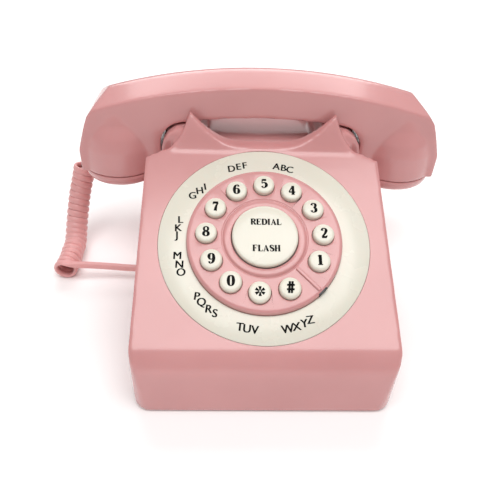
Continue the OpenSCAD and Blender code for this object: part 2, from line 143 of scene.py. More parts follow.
def middle(edge):
    return (edge.verts[0].co + edge.verts[1].co) / 2


def slab(name, low, high, edge=0.0, steps=3):
    """A block between two corners, its edges rounded."""
    let_go()
    low, high = Vector(low) * MM, Vector(high) * MM
    bpy.ops.mesh.primitive_cube_add(size=1, location=(low + high) / 2, scale=high - low)
    obj = settle(bpy.context.object)
    obj.name = name
    if edge:
        pick_all(obj)
        bpy.ops.mesh.bevel(offset=edge * MM, segments=steps)
        let_go()
    return obj


def drum(name, centre, r, low, high, sides=72):
    let_go()
    place = Vector((centre[0], centre[1], (low + high) / 2)) * MM
    bpy.ops.mesh.primitive_cylinder_add(vertices=sides, radius=r * MM, depth=(high - low) * MM, location=place)
    obj = settle(bpy.context.object)
    obj.name = name
    return obj


def outline(name, corners, filled, place):
    """A flat ring of corners; place turns each corner's two numbers into a point of the model."""
    let_go()
    fill = "NGON" if filled else "NOTHING"
    bpy.ops.mesh.primitive_circle_add(vertices=len(corners), fill_type=fill)
    obj = settle(bpy.context.object)
    obj.name = name
    for corner, vert in zip(corners, obj.data.vertices):
        vert.co = Vector(place(*corner)) * MM
    return obj


def face_outward(obj):
    pick_all(obj)
    bpy.ops.mesh.remove_doubles(threshold=0.00002)
    bpy.ops.mesh.normals_make_consistent(inside=False)
    let_go()
    return obj


def across(name, side_view, half):
    """A side view (y, z) pulled out across the body."""
    obj = outline(name, side_view, True, lambda y, z: (-half, y, z))
    pick_all(obj)
    bpy.ops.mesh.extrude_region_move(TRANSFORM_OT_translate={"value": (2 * half * MM, 0, 0)})
    return face_outward(obj)


def upright(name, front_view, y0, y1):
    """A front view (x, z) pulled out from y0 back to y1."""
    obj = outline(name, front_view, True, lambda x, z: (x, y0, z))
    pick_all(obj)
    bpy.ops.mesh.extrude_region_move(TRANSFORM_OT_translate={"value": (0, (y1 - y0) * MM, 0)})
    return face_outward(obj)


def raised(name, plan, low, high):
    """A plan (x, y) pulled up from low to high."""
    obj = outline(name, plan, True, lambda x, y: (x, y, low))
    pick_all(obj)
    bpy.ops.mesh.extrude_region_move(TRANSFORM_OT_translate={"value": (0, 0, (high - low) * MM)})
    return face_outward(obj)


def turned(name, profile, steps=96, centre=(0, 0)):
    """A closed profile (radius, height) turned all the way round an upright axis."""
    obj = outline(name, profile, False, lambda r, h: (centre[0] + r, centre[1], h))
    pick_all(obj)
    axle = (centre[0] * MM, centre[1] * MM, 0)
    bpy.ops.mesh.spin(steps=steps, angle=2 * math.pi, center=axle, axis=(0, 0, 1))
    face_outward(obj)
    pick_all(obj)
    bpy.ops.mesh.dissolve_degenerate(threshold=0.00001)
    bpy.ops.mesh.delete_loose()
    let_go()
    return obj


def swept(name, profile, half_angle, steps):
    """A closed profile (distance from the arch's centre, y) swept along the handle's arch."""
    obj = outline(name, profile, False, lambda r, y: (0, y, r))
    take(obj)
    obj.data.transform(Matrix.Rotation(-half_angle, 4, "Y"))
    obj.data.transform(Matrix.Translation(Vector((0, HANDSET_Y, ARCH_Z)) * MM))
    pick_all(obj)
    axle = Vector((0, HANDSET_Y, ARCH_Z)) * MM
    bpy.ops.mesh.spin(steps=steps, angle=2 * half_angle, center=axle, axis=(0, -1, 0))
    bpy.ops.mesh.select_all(action="SELECT")
    bpy.ops.mesh.fill_holes(sides=0)
    return face_outward(obj)


def fit(obj, kind, **settings):
    """Adds a modifier and applies it."""
    take(obj)
    modifier = obj.modifiers.new(kind.lower(), kind)
    for key, value in settings.items():
        setattr(modifier, key, value)
    bpy.ops.object.modifier_apply(modifier=modifier.name)
    return obj


def combine(obj, tool, how):
    """Cuts with, keeps the common part with, or adds another solid, which is used up."""
    fit(obj, "BOOLEAN", object=tool, operation=how, solver="MANIFOLD")
    bpy.data.objects.remove(tool)
    return obj


def cut(obj, *tools):
    for tool in tools:
        combine(obj, tool, "DIFFERENCE")
    return obj


def join(name, pieces):
    let_go()
    for piece in pieces:
        piece.select_set(True)
    bpy.context.view_layer.objects.active = pieces[0]
    if len(pieces) > 1:
        bpy.ops.object.join()
    pieces[0].name = name
    return pieces[0]


def melt(name, pieces, grain, rounds):
    """Melts overlapping solids into one moulding with soft edges."""
    obj = join(name, pieces)
    fit(obj, "REMESH", mode="VOXEL", voxel_size=grain * MM, adaptivity=0)
    fit(obj, "SMOOTH", factor=0.5, iterations=rounds)
    return obj


def on_dial(obj):
    obj.data.transform(DIAL_PLANE)
    return obj


def shade(obj, angle=35):
    take(obj)
    bpy.ops.object.shade_smooth_by_angle(angle=math.radians(angle))
    return obj


def finish(obj, finish_name, body, *nodes):
    """Gives a piece its material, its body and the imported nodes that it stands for."""
    material, slot = FINISHES[finish_name]
    if not any(obj.data.materials):
        obj.data.materials.clear()
        obj.data.materials.append(material)
    shade(obj)
    if body:
        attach(obj, body)
    if nodes:
        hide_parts(*nodes)
    return obj


def smooth_line(points, steps):
    """Smooth curve through a list of points."""
    points = [Vector(p) for p in points]
    line = []
    last = len(points) - 1
    for i in range(last):
        a, b, c, d = points[max(i - 1, 0)], points[i], points[i + 1], points[min(i + 2, last)]
        for k in range(steps):
            t = k / steps
            line.append(0.5 * ((2 * b) + (c - a) * t + (2 * a - 5 * b + 4 * c - d) * t * t
                               + (3 * b - a - 3 * c + d) * t ** 3))
    line.append(points[last])
    return line


# ---------------------------------------------------------------- finishes
def tint(code):
    """Linear colour from a web colour."""
    parts = [int(code[i:i + 2], 16) / 255 for i in (1, 3, 5)]
    return [p / 12.92 if p <= 0.04045 else ((p + 0.055) / 1.055) ** 2.4 for p in parts] + [1]


def start_material(name):
    material = bpy.data.materials.new(name)
    material.use_nodes = True
    nodes, links = material.node_tree.nodes, material.node_tree.links
    shader = nodes["Principled BSDF"]
    where = nodes.new("ShaderNodeTexCoord").outputs["Object"]
    return material, nodes, links, shader, where


def noise(nodes, links, where, scale, detail=2.0, roughness=0.5):
    node = nodes.new("ShaderNodeTexNoise")
    node.inputs["Scale"].default_value = scale
    node.inputs["Detail"].default_value = detail
    node.inputs["Roughness"].default_value = roughness
    links.new(where, node.inputs["Vector"])
    return node.outputs["Fac"]


def blend_colours(nodes, links, factor, first, second, low=0.35, high=0.65):
    ramp = nodes.new("ShaderNodeValToRGB")
    ramp.color_ramp.elements[0].position = low
    ramp.color_ramp.elements[0].color = tint(first)
    ramp.color_ramp.elements[1].position = high
    ramp.color_ramp.elements[1].color = tint(second)
    links.new(factor, ramp.inputs["Fac"])
    return ramp.outputs["Color"]


def moulded_plastic(name, light, deep, gloss, coat=0.0, skin=0.04, glow=0.0):
    """Dyed moulded plastic: faint clouding of the dye, uneven gloss, and the fine skin of the mould."""
    material, nodes, links, shader, where = start_material(name)
    cloud = noise(nodes, links, where, 22, 3)
    links.new(blend_colours(nodes, links, cloud, light, deep), shader.inputs["Base Color"])
    polish = nodes.new("ShaderNodeMapRange")
    polish.inputs["To Min"].default_value = max(gloss - 0.035, 0.02)
    polish.inputs["To Max"].default_value = gloss + 0.05
    links.new(noise(nodes, links, where, 70, 4), polish.inputs["Value"])
    links.new(polish.outputs["Result"], shader.inputs["Roughness"])
    peel = nodes.new("ShaderNodeBump")
    peel.inputs["Strength"].default_value = skin
    peel.inputs["Distance"].default_value = 0.0004
    links.new(noise(nodes, links, where, 420, 3), peel.inputs["Height"])
    links.new(peel.outputs["Normal"], shader.inputs["Normal"])
    shader.inputs["IOR"].default_value = 1.5
    shader.inputs["Coat Weight"].default_value = coat
    shader.inputs["Coat Roughness"].default_value = 0.12
    if glow:
        shader.inputs["Subsurface Weight"].default_value = glow
        shader.inputs["Subsurface Radius"].default_value = (0.004, 0.002, 0.0016)
        shader.inputs["Subsurface Scale"].default_value = 0.4
    return material


def worked_metal(name, light, deep, gloss):
    material, nodes, links, shader, where = start_material(name)
    links.new(blend_colours(nodes, links, noise(nodes, links, where, 300, 4), light, deep),
              shader.inputs["Base Color"])
    streak = nodes.new("ShaderNodeMapRange")
    streak.inputs["To Min"].default_value = gloss
    streak.inputs["To Max"].default_value = gloss + 0.2
    links.new(noise(nodes, links, where, 900, 2), streak.inputs["Value"])
    links.new(streak.outputs["Result"], shader.inputs["Roughness"])
    shader.inputs["Metallic"].default_value = 1.0
    return material


def printed_ink(name):
    material, nodes, links, shader, where = start_material(name)
    links.new(blend_colours(nodes, links, noise(nodes, links, where, 1500, 3), "#040404", "#0a0909"),
              shader.inputs["Base Color"])
    shader.inputs["Roughness"].default_value = 0.7
    shader.inputs["Specular IOR Level"].default_value = 0.15
    return material


def circuit_board(name):
    """Green lacquer with fine copper tracks showing through."""
    material, nodes, links, shader, where = start_material(name)
    tracks = nodes.new("ShaderNodeTexVoronoi")
    tracks.feature = "DISTANCE_TO_EDGE"
    tracks.inputs["Scale"].default_value = 260
    links.new(where, tracks.inputs["Vector"])
    links.new(blend_colours(nodes, links, tracks.outputs["Distance"], "#4f9a5f", "#245f3b", 0.04, 0.09),
              shader.inputs["Base Color"])
    shader.inputs["Roughness"].default_value = 0.35
    return material


def table_paper():
    material, nodes, links, shader, where = start_material("table_paper")
    links.new(blend_colours(nodes, links, noise(nodes, links, where, 3, 3), "#fcfcfb", "#ffffff"),
              shader.inputs["Base Color"])
    shader.inputs["Roughness"].default_value = 0.9
    shader.inputs["Specular IOR Level"].default_value = 0.1
    return material


set_camera()

pink_gloss = moulded_plastic("pink_gloss_plastic", "#d39796", "#ce9291", 0.24, coat=0.4, glow=0.15)
pink_cord = moulded_plastic("pink_cord_vinyl", "#e4acaa", "#dea3a1", 0.34, skin=0.1, glow=0.1)
cream_gloss = moulded_plastic("cream_gloss_plastic", "#e4e1d3", "#dfdccc", 0.26, coat=0.15, skin=0.03, glow=0.1)
ink = printed_ink("black_print")
FINISHES = {
    "pink": (pink_gloss, "pink_shell"),
    "cream": (cream_gloss, "cream_key"),
    "cord": (pink_cord, "pink_cord"),
    "ink": (ink, "dark_plastic"),
    "rubber": (moulded_plastic("foot_rubber", "#2a292b", "#1f1e20", 0.7, skin=0.3), "foot_rubber"),
    "silicone": (moulded_plastic("soft_silicone", "#dcdcd8", "#cfcfca", 0.5, glow=0.2), "soft_silicone"),
    "board": (circuit_board("board_green"), "board_green"),
    "steel": (worked_metal("bright_steel", "#d4d4d6", "#b4b4b8", 0.22), "bright_steel"),
    "iron": (worked_metal("cast_iron", "#6a6a6c", "#4a4a4d", 0.5), "iron_weight"),
    "dark": (moulded_plastic("dark_plastic", "#2e2d30", "#232225", 0.35, skin=0.1), "dark_plastic"),
    "sleeve": (moulded_plastic("wire_sleeve", "#b5302c", "#9c2724", 0.45), "wire_sleeve"),
}


# ---------------------------------------------------------------- curly cord
def carried_sides(line):
    """Directions square to a line, carried along it without twisting."""
    headings = []
    for i in range(len(line)):
        headings.append((line[min(i + 1, len(line) - 1)] - line[max(i - 1, 0)]).normalized())
    sides = [Vector((0, 1, 0.2))]
    for heading in headings:
        side = sides[-1] - sides[-1].dot(heading) * heading
        sides.append(side.normalized())
    return headings, sides[1:]


def curl(axis_points, radius, pitch):
    """A helix about a bent axis, ending with its last turn at the top, heading to the right.

    Gives the path and, for each point, the direction in which the flat cord is broad."""
    line = smooth_line(axis_points, 24)
    headings, sides = carried_sides(line)
    run = [0.0]
    for a, b in zip(line, line[1:]):
        run.append(run[-1] + (b - a).length)
    last = headings[-1]
    up = (Vector((0, 0, 1)) - last.z * last).normalized()
    ending = math.atan2(up.dot(last.cross(sides[-1])), up.dot(sides[-1]))
    steps = int(run[-1] / pitch * 18)
    path, broad = [], []
    at = 0
    for k in range(steps + 1):
        goal = run[-1] * k / steps
        while at < len(run) - 2 and run[at + 1] < goal:
            at += 1
        t = (goal - run[at]) / (run[at + 1] - run[at])
        centre = line[at].lerp(line[at + 1], t)
        heading = headings[at].lerp(headings[at + 1], t).normalized()
        side = sides[at].lerp(sides[at + 1], t)
        side = (side - side.dot(heading) * heading).normalized()
        angle = ending + 2 * math.pi * (run[-1] - goal) / pitch
        grow = min(1.0, goal / 5)
        reach = radius * math.sin(grow * math.pi / 2)
        path.append(centre + reach * (math.cos(angle) * side + math.sin(angle) * heading.cross(side)))
        broad.append(heading)
    return path, broad


def flat_hose(name, path, broad):
    """A flat cord with rounded edges, extruded ring by ring along its path."""
    let_go()
    corners = 12
    bpy.ops.mesh.primitive_circle_add(vertices=corners, fill_type="NOTHING")
    obj = settle(bpy.context.object)
    obj.name = name
    mesh = bmesh.new()
    mesh.from_mesh(obj.data)
    section = [(v.co.x, v.co.y) for v in mesh.verts]
    mesh.clear()
    rings = []
    for i, p in enumerate(path):
        along = (path[min(i + 1, len(path) - 1)] - path[max(i - 1, 0)]).normalized()
        wide = (broad[i] - broad[i].dot(along) * along).normalized()
        thin = along.cross(wide)
        ring = []
        for x, y in section:
            x = math.copysign(abs(x) ** 0.8, x)
            ring.append(mesh.verts.new((p + wide * x * CORD_WIDE / 2 + thin * y * CORD_THICK / 2) * MM))
        rings.append(ring)
    for a, b in zip(rings, rings[1:]):
        for k in range(corners):
            j = (k + 1) % corners
            mesh.faces.new((a[k], a[j], b[j], b[k]))
    mesh.faces.new(rings[0])
    mesh.faces.new(rings[-1])
    mesh.to_mesh(obj.data)
    mesh.free()
    return face_outward(obj)


def turned_sides(start, end, count):
    """Broad directions that turn evenly from the start's to the end's."""
    start, end = Vector(start), Vector(end)
    return [start.lerp(end, i / max(count - 1, 1)).normalized() for i in range(count)]


def socket_point(out, up=0.0):
    """A point that far out from the centre of the mouth cup, through its cord socket."""
    return Vector((-CUP_X + out * math.cos(SOCKET_TURN), HANDSET_Y + out * math.sin(SOCKET_TURN), PLUG_Z + up))


def handset_cord():
    """One cord from the handset's plug, down through the curls, along the table to the plug in the body."""
    axis = [
        (-119.3, 64, 57.5), (-121.3, 61.5, 48.5), (-124.3, 57, 37), (-126.3, 50.5, 25), (-127.3, 43.5, 14.7),
        (-127, 35, 8.6), (-127, 26, 7.8), (-126.5, 17, 7.7), (-127.5, 7, 7.7),
    ]
    curls, curls_broad = curl(axis, (CURL_D - CORD_THICK) / 2, CURL_PITCH)
    leave = smooth_line([socket_point(30.4), socket_point(34.5, -0.8), (-116.2, 75, 71.5), (-118, 68.5, 63),
                         curls[0]], 6)
    lead = smooth_line([curls[-1], (-120, 6.3, 13), (-112, 7.2, 12), (-98, 7.8, 10.6), (-86, 7.4, 9.9),
                        (-75.7, PORT_Y, PORT_Z)], 6)
    path = leave[:-1] + curls[:-1] + lead
    broad = turned_sides((0.7, 0.7, 0), curls_broad[0], len(leave) - 1) + curls_broad[:-1]
    broad += turned_sides(curls_broad[-1], (0, -0.6, -0.8), 8) + [Vector((0, -0.6, -0.8))] * (len(lead) - 8)
    cord = flat_hose("handset_cord", path, broad)
    length = sum((b - a).length for a, b in zip(path, path[1:])) * MM
    return cord, path, length


cord, cord_path, cord_length = handset_cord()


def cord_plug(name, centre, reach, turn):
    """A small modular plug with its latch and a ribbed sleeve where the cord comes out."""
    case = slab(name, (-reach, -3.8, -3), (8.8, 3.8, 3), edge=0.5)
    cut(case, slab("latch_gap", (1, -2, 2.2), (9.2, 2, 4)))
    latch = slab("latch", (1.6, -1.6, 2.1), (8.6, 1.6, 2.7), edge=0.25, steps=2)
    sleeve = turned("sleeve", [(0, reach - 0.6), (2.9, reach - 0.6), (2.9, reach), (2.4, reach + 0.25),
                               (2.8, reach + 0.5), (2.8, reach + 0.9), (2.3, reach + 1.15), (2.6, reach + 1.4),
                               (2.6, reach + 1.8), (2.3, reach + 2), (0, reach + 2)], 32)
    sleeve.data.transform(Matrix.Rotation(math.radians(-90), 4, "Y"))
    plug = join(name, [case, latch, sleeve])
    plug.data.transform(Matrix.Translation(Vector(centre) * MM) @ Matrix.Rotation(turn, 4, "Z"))
    return plug


handset_plug = cord_plug("handset_cord_plug", socket_point(CUP_R - 0.6), 3, SOCKET_TURN + math.pi)
body_plug = cord_plug("body_cord_plug", (-67.7, PORT_Y, PORT_Z), 6, 0)
finish(handset_plug, "cord", "handset", "handset_plug")
finish(body_plug, "cord", "base", "body_plug")
finish(cord, "cord", None, "curly_cord", "cord_lead")
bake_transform(cord)


# ---------------------------------------------------------------- body
def up_the_face(t):
    """The point (y, z) that lies t up the dial face from the front crease."""
    return (CREASE[0] + t * math.cos(FACE_SLOPE), CREASE[1] + t * math.sin(FACE_SLOPE))


def column(half, y0, y1, r):
    """A tall block with the rounded plan of the body, to trim the corners with."""
    block = slab("plan_column", (-half, y0, 0), (half, y1, 130))
    pick(block, "EDGE", lambda e: abs(e.verts[0].co.z - e.verts[1].co.z) > 0.1)
    bpy.ops.mesh.bevel(offset=r * MM, segments=12)
    let_go()
    return block


def mirrored(half_view):
    return half_view + [(-x, z) for x, z in reversed(half_view)]


def body_block():
    """The wedge: upright band, rolled crease and dial face, its upper corners cut off at a slant."""
    top = up_the_face(128)
    wedge = across("wedge", [(FRONT, BODY_FOOT), (34, BODY_FOOT), (34, 47), (top[0] + 6, top[1] - 6), top,
                             CREASE], BODY_HALF)
    pick(wedge, "EDGE", lambda e: abs(middle(e).x) < 0.001 and abs(middle(e).z - CREASE[1] * MM) < 0.0005)
    bpy.ops.mesh.bevel(offset=9.5 * MM, segments=10)
    for side in (-1, 1):
        inner = Vector((side * NECK_HALF, 21, 94.1))
        outer = Vector((side * BODY_HALF, 13.7, 90.2))
        square = (outer - inner).cross(Vector((0, 3.2, -12))) * side
        pick_all(wedge)
        bpy.ops.mesh.bisect(plane_co=inner * MM, plane_no=square.normalized(), use_fill=True, clear_outer=True)
    face_outward(wedge)
    return combine(wedge, column(BODY_HALF, FRONT, BACK, CORNER_R), "INTERSECT")


def rear_deck():
    deck = across("deck", [(10, BODY_FOOT), (BACK, BODY_FOOT), (93, 37), (38, 41), (10, 42)], BODY_HALF)
    return combine(deck, column(BODY_HALF, FRONT, BACK, CORNER_R), "INTERSECT")


def cradle_neck():
    return across("neck", [(-40, 30), (92, 30), (89, 60), (83.5, 94.6), (71.5, 94.6), (70.5, 92.6),
                           (30.4, 92.6), (28.4, 94.4), (21.9, 94.56)], NECK_HALF)


def flared_foot(half, deep):
    """The foot of the neck, spreading out beside the cradle; deep is how far its faces lie inside."""
    top = 88 - deep
    foot = across("flare", [(-40, 30), (92 - deep, 20), (90 - deep, 50), (86 - deep, top), (29 + deep, top)], half)
    view = mirrored([(half, 10), (half, 76), (NECK_HALF + 1 - deep, 90 - deep)])
    return combine(foot, upright("flare_view", view, -60, 100), "INTERSECT")


def horn_view():
    """One half of the front view of a horn plate: the scoop, the tip and the hollow outer edge."""
    scoop = smooth_line([(0, 94.1, 0), (12, 94.4, 0), (22, 96.1, 0), (31, 101.3, 0), (38.5, 108, 0),
                         (42.4, 112.2, 0)], 4)
    outer = smooth_line([(42.4, 112.2, 0), (44.4, 107, 0), (46.8, 101.6, 0), (49.8, 97, 0), (53, 93.8, 0)], 4)
    return [(p.x, p.y) for p in scoop] + [(p.x, p.y) for p in outer[1:]]


def horn_plates():
    """The front pair leans back and flows down into the dial face; the rear pair stands upright."""
    view = mirrored(horn_view() + [(52, 80)])
    lean = across("horn_lean", [(6, 80), (6, 84.6), (15, 90.4), (17.8, 92.7), (19.6, 95.6), (21.2, 99.4),
                                (22.8, 104), (24.6, 108.5), (26.4, 112.5), (29.4, 112.5), (29.4, 80)], 60)
    front = combine(upright("front_horns", view, 2, 29.4), lean, "INTERSECT")
    return [front, upright("rear_horns", view, 71.5, 79)]


def cradle_ears():
    """The blocks at both sides that fill the handset's arch and guide it down."""
    view = [(33, 84), (56, 60), (60.3, 64), (60.3, 88.1), (59.3, 93), (56.2, 97.8), (51.5, 101), (46.5, 101.9),
            (38, 102), (33, 97)]
    return [upright("ear", [(side * x, z) for x, z in view], 25.5, 74.5) for side in (-1, 1)]


def body_shell():
    solids = [body_block(), rear_deck(), cradle_neck(), flared_foot(FLARE_HALF, 0)]
    body = melt("body", solids + horn_plates() + cradle_ears(), BODY_GRAIN, MELT_ROUNDS)
    inside = BODY_HALF - WALL
    front_hollow = across("front_hollow", [(-92.4, 0), (30, 0), (26, 46), (13, 82), (9.4, 84.9), (-89.6, 32.2)],
                          inside)
    rear_hollow = across("rear_hollow", [(5, 0), (92.4, 0), (90.4, 34.2), (37, 38.3), (5, 39)], inside)
    neck_hollow = across("neck_hollow", [(-34, 32), (86, 32), (86, 60), (81.4, 90), (30, 90), (24, 90.4),
                                         (20, 88.6)], NECK_HALF - WALL)
    for hollow in (front_hollow, rear_hollow, neck_hollow, flared_foot(FLARE_HALF - WALL, WALL)):
        cut(body, combine(hollow, column(inside, FRONT + WALL, BACK - WALL, CORNER_R), "INTERSECT"))
    cut(body,
        on_dial(drum("dial_seat", (0, 0), RING_OUTER + 0.2, -1.3, 20, 128)),
        on_dial(drum("dial_window", (0, 0), 39, -14, 1, 96)),
        drum("plunger_hole", (-38, HANDSET_Y), 3.7, 86, 110, 48),
        drum("plunger_hole", (38, HANDSET_Y), 3.7, 86, 110, 48),
        slab("port_hole", (-70, PORT_Y - 6.7, 4.4), (-64, PORT_Y + 6.7, 15.5)),
        slab("line_hole", (-46.7, 88, 6.8), (-33.3, 97, 19.2)))
    return finish(body, "pink", "base", "body_shell")


body_shell()


# ---------------------------------------------------------------- feet
def feet():
    places = [(x, y) for x in (-50, 50) for y in (-72, 72)]
    pad = [(0, 2), (7.5, 2), (7.5, 1), (7.2, 0.4), (6.4, 0), (3.6, 0), (3.2, 0.7), (0, 0.7)]
    made = [turned("foot", pad, 48, place) for place in places]
    return finish(join("rubber_foot_pads", made), "rubber", "base", "rubber_feet")


feet()

# ---------------------------------------------------------------- lettering
# A serif letter is a list of pen strokes on a field ten high; each point is across, up, half the pen's width.
STEM = [(1.6, 0.3, 0.95), (1.6, 9.7, 0.95)]
FOOT = [(0.1, 0.25, 0.27), (3.1, 0.25, 0.27)]
HEAD = [(0.1, 9.75, 0.27), (3.1, 9.75, 0.27)]
SERIF = {
    "0": [[(3.3, 9.8, 0.3), (1.6, 8.6, 0.8), (1.05, 5, 1.05), (1.6, 1.4, 0.8), (3.3, 0.2, 0.3), (5, 1.4, 0.8),
           (5.55, 5, 1.05), (5, 8.6, 0.8), (3.3, 9.8, 0.3)]],
    "1": [[(3.5, 0.3, 1.05), (3.5, 9.8, 1.05)], [(1.3, 0.3, 0.33), (5.7, 0.3, 0.33)],
          [(3.4, 9.4, 0.5), (1.4, 8.4, 0.3)]],
    "2": [[(1.5, 7.2, 0.95), (1.8, 9.1, 0.6), (3.4, 9.75, 0.35), (5.1, 8.7, 0.8), (5.2, 6.9, 1.0),
           (3.9, 4.2, 0.7), (1.3, 1.1, 0.5)], [(1.0, 0.8, 0.8), (5.5, 0.8, 0.8)], [(5.5, 0.6, 0.4), (5.9, 2.8, 0.25)]],
    "3": [[(1.5, 7.6, 0.95), (1.9, 9.3, 0.5), (3.4, 9.75, 0.35), (5, 8.7, 0.85), (5, 6.6, 0.85), (3.3, 5.3, 0.35)],
          [(3.3, 5.3, 0.35), (5.2, 4.2, 0.9), (5.3, 1.9, 1.0), (3.5, 0.3, 0.35), (1.8, 0.8, 0.5), (1.5, 2.3, 0.95)]],
    "4": [[(4.4, 0.3, 0.95), (4.4, 9.8, 0.95)], [(4.1, 9.6, 0.4), (0.6, 3.2, 0.4)], [(0.4, 2.9, 0.5), (6.5, 2.9, 0.5)],
          [(2.8, 0.3, 0.33), (6, 0.3, 0.33)]],
    "5": [[(1.5, 9.0, 0.8), (5.4, 9.0, 0.8)], [(1.4, 9.6, 0.35), (1.25, 5.2, 0.35)],
          [(1.3, 5.2, 0.35), (3.2, 6.1, 0.4), (5.1, 4.9, 0.9), (5.3, 2.4, 1.0), (3.4, 0.3, 0.35), (1.7, 0.8, 0.5),
           (1.4, 2.1, 0.9)]],
    "6": [[(5.1, 7.9, 0.8), (4.6, 9.4, 0.5), (3.5, 9.75, 0.35), (1.8, 8.3, 0.8), (1.1, 5, 1.05), (1.6, 1.4, 0.8),
           (3.3, 0.2, 0.3), (4.9, 1.2, 0.8), (5.4, 3.0, 1.0), (4.8, 5.2, 0.7), (3.3, 5.9, 0.33), (1.8, 5.0, 0.33)]],
    "7": [[(1.0, 8.95, 0.85), (5.8, 8.95, 0.85)], [(1.0, 9.6, 0.27), (0.9, 7.0, 0.27)],
          [(5.6, 8.7, 0.45), (3.9, 5.2, 0.75), (3.1, 0.3, 1.1)]],
    "8": [[(3.3, 5.3, 0.4), (1.6, 6.4, 0.7), (1.5, 8.5, 0.7), (3.3, 9.8, 0.3), (5, 8.6, 0.7), (4.9, 6.4, 0.7),
           (3.3, 5.3, 0.4)],
          [(3.3, 5.3, 0.4), (1.4, 3.9, 0.85), (1.2, 1.8, 0.85), (3.3, 0.2, 0.3), (5.3, 1.6, 0.9), (5.2, 3.8, 0.9),
           (3.3, 5.3, 0.4)]],
    "#": [[(1.9, 0.4, 0.5), (2.9, 9.6, 0.5)], [(3.9, 0.4, 0.5), (4.9, 9.6, 0.5)], [(0.4, 3.3, 0.45), (6.1, 3.3, 0.45)],
          [(0.7, 6.7, 0.45), (6.4, 6.7, 0.45)]],
    "R": [STEM, FOOT, HEAD, [(1.6, 9.7, 0.3), (4.2, 9.5, 0.5), (5.5, 8.5, 0.9), (5.5, 6.5, 0.9), (4.2, 5.3, 0.5),
                             (1.6, 5.1, 0.3)], [(3.8, 5.1, 0.5), (5.6, 1.5, 0.95), (7, 0.3, 0.4)]],
    "E": [STEM, FOOT, HEAD, [(1.6, 9.7, 0.33), (6, 9.7, 0.33)], [(5.9, 9.8, 0.3), (6.1, 7.4, 0.15)],
          [(1.6, 5.1, 0.33), (4.4, 5.1, 0.33)], [(4.4, 6.6, 0.22), (4.4, 3.6, 0.22)], [(1.6, 0.3, 0.33), (6, 0.3, 0.33)],
          [(6, 0.2, 0.3), (6.3, 2.8, 0.15)]],
    "D": [STEM, FOOT, HEAD, [(1.6, 9.7, 0.33), (4.4, 9.4, 0.5), (6.2, 7.4, 0.95), (6.5, 5, 1.1), (6.2, 2.6, 0.95),
                             (4.4, 0.6, 0.5), (1.6, 0.3, 0.33)]],
    "I": [STEM, FOOT, HEAD],
    "A": [[(3.6, 9.8, 0.3), (1.1, 0.3, 0.33)], [(3.5, 9.6, 0.55), (6.1, 0.3, 1.0)], [(1.9, 3.2, 0.33), (5, 3.2, 0.33)],
          [(0, 0.25, 0.27), (2.3, 0.25, 0.27)], [(4.5, 0.25, 0.27), (7.4, 0.25, 0.27)]],
    "L": [STEM, FOOT, HEAD, [(1.6, 0.3, 0.33), (5.8, 0.3, 0.33)], [(5.8, 0.2, 0.3), (6.1, 3, 0.15)]],
    "F": [STEM, FOOT, HEAD, [(1.6, 9.7, 0.33), (6, 9.7, 0.33)], [(5.9, 9.8, 0.3), (6.1, 7.2, 0.15)],
          [(1.6, 5.1, 0.33), (4.4, 5.1, 0.33)], [(4.4, 6.6, 0.22), (4.4, 3.6, 0.22)]],
    "S": [[(5.2, 7.3, 0.33), (4.9, 9.1, 0.45), (3.2, 9.7, 0.4), (1.5, 8.6, 0.8), (1.7, 6.6, 0.95), (3.4, 5.2, 1.05),
           (5.2, 3.8, 1.0), (5.3, 1.6, 0.85), (3.5, 0.3, 0.4), (1.7, 0.9, 0.45), (1.2, 2.9, 0.3)]],
    "H": [STEM, FOOT, HEAD, [(6, 0.3, 0.95), (6, 9.7, 0.95)], [(4.5, 0.25, 0.27), (7.5, 0.25, 0.27)],
          [(4.5, 9.75, 0.27), (7.5, 9.75, 0.27)], [(1.6, 5.1, 0.33), (6, 5.1, 0.33)]],
}
SERIF["9"] = [[(6.6 - x, 10 - y, w) for x, y, w in stroke] for stroke in SERIF["6"]]
SERIF["*"] = [[(3.3 + 0.5 * math.cos(a), 5 + 0.5 * math.sin(a), 0.25),
               (3.3 + 3.1 * math.cos(a), 5 + 3.1 * math.sin(a), 0.75)]
              for a in [math.radians(30 + 60 * i) for i in range(6)]]
WIDTHS = {"R": 7.6, "E": 7.2, "D": 8.2, "I": 4.2, "A": 8.0, "L": 6.8, "F": 7.0, "S": 6.8, "H": 8.4}


def pen_stroke(mesh, stroke, scale, left, foot, height, weight, spread):
    """Lays one stroke down as a ribbon whose width follows the pen."""
    line = smooth_line(stroke, 8 if len(stroke) > 2 else 1)
    pairs = []
    for i, p in enumerate(line):
        ahead = line[min(i + 1, len(line) - 1)] - line[max(i - 1, 0)]
        square = Vector((-ahead.y, ahead.x, 0)).normalized() * p.z * weight
        pair = []
        for side in (1, -1):
            x = left + (p.x * spread + side * square.x) * scale
            y = foot + (p.y + side * square.y) * scale
            pair.append(mesh.verts.new(Vector((x, y, height)) * MM))
        pairs.append(pair)
    for (a, b), (c, d) in zip(pairs, pairs[1:]):
        mesh.faces.new((a, b, d, c))


def serif_word(name, word, high, centre, height, weight=1.0, spread=1.0):
    """A flat word in serif letters about its centre; weight thickens the pen and spread widens the word."""
    scale = high / 10
    wide = sum(WIDTHS.get(letter, 6.6) for letter in word) * spread
    data = bpy.data.meshes.new(name)
    mesh = bmesh.new()
    left = centre[0] - wide * scale / 2
    for letter in word:
        for stroke in SERIF[letter]:
            pen_stroke(mesh, stroke, scale, left, centre[1] - high / 2, height, weight, spread)
        left += WIDTHS.get(letter, 6.6) * scale * spread
    bmesh.ops.recalc_face_normals(mesh, faces=mesh.faces)
    for face in mesh.faces:
        if face.normal.z < 0:
            face.normal_flip()
    mesh.to_mesh(data)
    mesh.free()
    obj = bpy.data.objects.new(name, data)
    bpy.context.scene.collection.objects.link(obj)
    data.materials.append(ink)
    return obj


